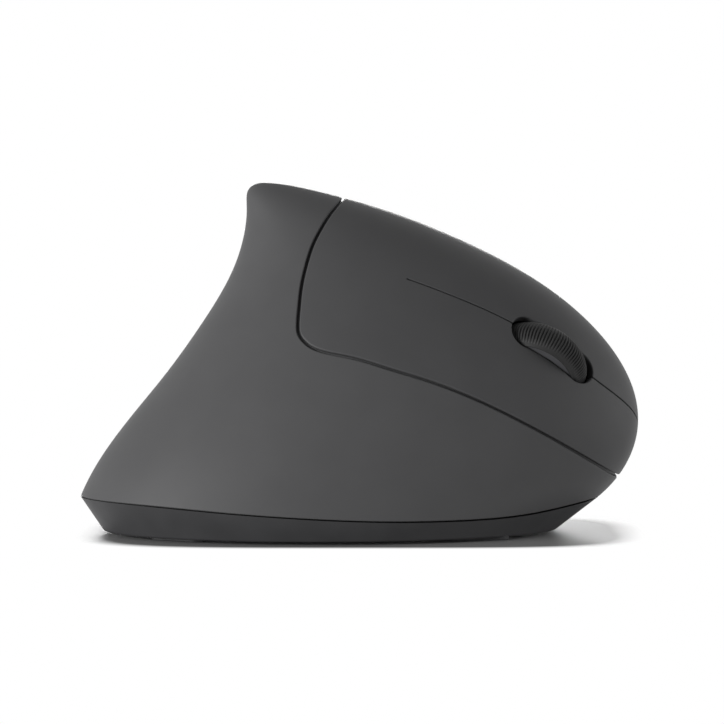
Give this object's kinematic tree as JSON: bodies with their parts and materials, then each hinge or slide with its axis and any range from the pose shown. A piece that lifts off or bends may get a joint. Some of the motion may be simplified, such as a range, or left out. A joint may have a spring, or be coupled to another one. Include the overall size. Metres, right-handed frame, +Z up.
{
  "type": "vertical ergonomic mouse",
  "caption": "Right-handed vertical wireless mouse with a tall grip, two click keys, a scroll wheel, thumb buttons, a battery door and a stowed receiver.",
  "frame": {"origin": "under the middle of the body, on the surface that the feet stand on", "axes": "+X to the front (towards the nose), +Y to the thumb side, +Z up"},
  "size_m": [0.1198, 0.0629, 0.0747],
  "materials": {
    "soft_touch_shell": "fine soft-touch coating",
    "soft_touch_keys": "fine soft-touch coating",
    "base_plastic": "fine spark-eroded texture",
    "key_gloss": "semi-gloss moulded",
    "wheel_rubber": "matte ribbed",
    "inner_plastic": "moulded",
    "white_plastic": "moulded",
    "foot_glide": "smooth low-friction",
    "circuit_board": "solder mask",
    "chip_epoxy": "moulded epoxy",
    "clear_lens": "clear polycarbonate",
    "zinc_screw": "zinc plated",
    "spring_steel": "nickel plated",
    "steel_pin": "drawn",
    "cell_wrap": "printed shrink sleeve, bare",
    "can_metal": "satin",
    "plug_metal": "nickel plated",
    "red_plastic": "moulded"
  },
  "bodies": {
    "casing": {"base_case": "base_plastic", "grip_shell": "soft_touch_shell", "thumb_panel": "soft_touch_shell", "key_plate": "soft_touch_keys", "front_feet": "foot_glide", "rear_feet": "foot_glide", "case_screws": "zinc_screw", "frame_screws": "zinc_screw", "batteries": "cell_wrap", "battery_contacts": "spring_steel", "battery_springs": "spring_steel", "main_board": "circuit_board", "board_screws": "zinc_screw", "sensor_lens": "clear_lens", "sensor_chip": "chip_epoxy", "radio_chip": "chip_epoxy", "crystal": "can_metal", "capacitor": "can_metal", "cable_sockets": "white_plastic", "power_switch": "chip_epoxy", "inner_frame": "inner_plastic", "button_board": "circuit_board", "button_board_screws": "zinc_screw", "left_switch": "chip_epoxy", "right_switch": "chip_epoxy", "carrier_pin": "steel_pin", "wheel_switch": "chip_epoxy", "encoder_emitter": "clear_lens", "encoder_detector": "chip_epoxy", "side_board": "circuit_board", "side_board_screws": "zinc_screw", "side_switches": "chip_epoxy"},
    "left_key": {"left_button": "soft_touch_keys", "left_plunger": "white_plastic"},
    "right_key": {"right_button": "soft_touch_keys", "right_plunger": "white_plastic"},
    "carrier": {"wheel_carrier": "inner_plastic", "wheel_plunger": "red_plastic"},
    "wheel": {"wheel_tyre": "wheel_rubber", "wheel_hub": "inner_plastic"},
    "back_key": {"back_button": "key_gloss", "back_plunger": "red_plastic"},
    "forward_key": {"forward_button": "key_gloss", "forward_plunger": "red_plastic"},
    "dpi_key": {"dpi_button": "key_gloss", "dpi_plunger": "red_plastic"},
    "power_slider": {"power_knob": "key_gloss"},
    "battery_lid": {"battery_door": "base_plastic"},
    "receiver": {"receiver_cap": "base_plastic", "receiver_plug": "plug_metal"}
  },
  "joints": [
    {"name": "left_click", "type": "hinge", "parent": "casing", "child": "left_key", "pos_m": [0.00919, -0.01107, 0.05414], "axis": [0.3144, 0.6842, 0.6581], "range_deg": [0, 0.7], "stiffness_Nm_per_rad": 1.2},
    {"name": "right_click", "type": "hinge", "parent": "casing", "child": "right_key", "pos_m": [0.00919, -0.01107, 0.05414], "axis": [0.3144, 0.6842, 0.6581], "range_deg": [0, 0.7], "stiffness_Nm_per_rad": 1.2},
    {"name": "wheel_click", "type": "hinge", "parent": "casing", "child": "carrier", "pos_m": [0.02573, -0.00652, 0.04319], "axis": [0.3144, 0.6842, 0.6581], "range_deg": [0, 1.2], "stiffness_Nm_per_rad": 1.2},
    {"name": "wheel_spin", "type": "hinge", "parent": "carrier", "child": "wheel", "pos_m": [0.03729, -0.00505, 0.03614], "axis": [0.3144, 0.6842, 0.6581], "continuous": true},
    {"name": "back_press", "type": "slide", "parent": "casing", "child": "back_key", "axis": [0, -1, 0], "range_m": [0, 0.0007], "stiffness_N_per_m": 800},
    {"name": "forward_press", "type": "slide", "parent": "casing", "child": "forward_key", "axis": [0, -1, 0], "range_m": [0, 0.0007], "stiffness_N_per_m": 800},
    {"name": "dpi_press", "type": "slide", "parent": "casing", "child": "dpi_key", "axis": [0, -1, 0], "range_m": [0, 0.0006], "stiffness_N_per_m": 800},
    {"name": "power_slide", "type": "slide", "parent": "casing", "child": "power_slider", "axis": [0, 1, 0], "range_m": [-0.0013, 0.0013]},
    {"name": "battery_door_hinge", "type": "hinge", "parent": "casing", "child": "battery_lid", "pos_m": [-0.04316, -0.00069, 0.0015], "axis": [0, 1, 0], "range_deg": [0, 80]},
    {"name": "receiver_pull", "type": "slide", "parent": "casing", "child": "receiver", "axis": [0, 0, -1], "range_m": [0, 0.02]}
  ]
}
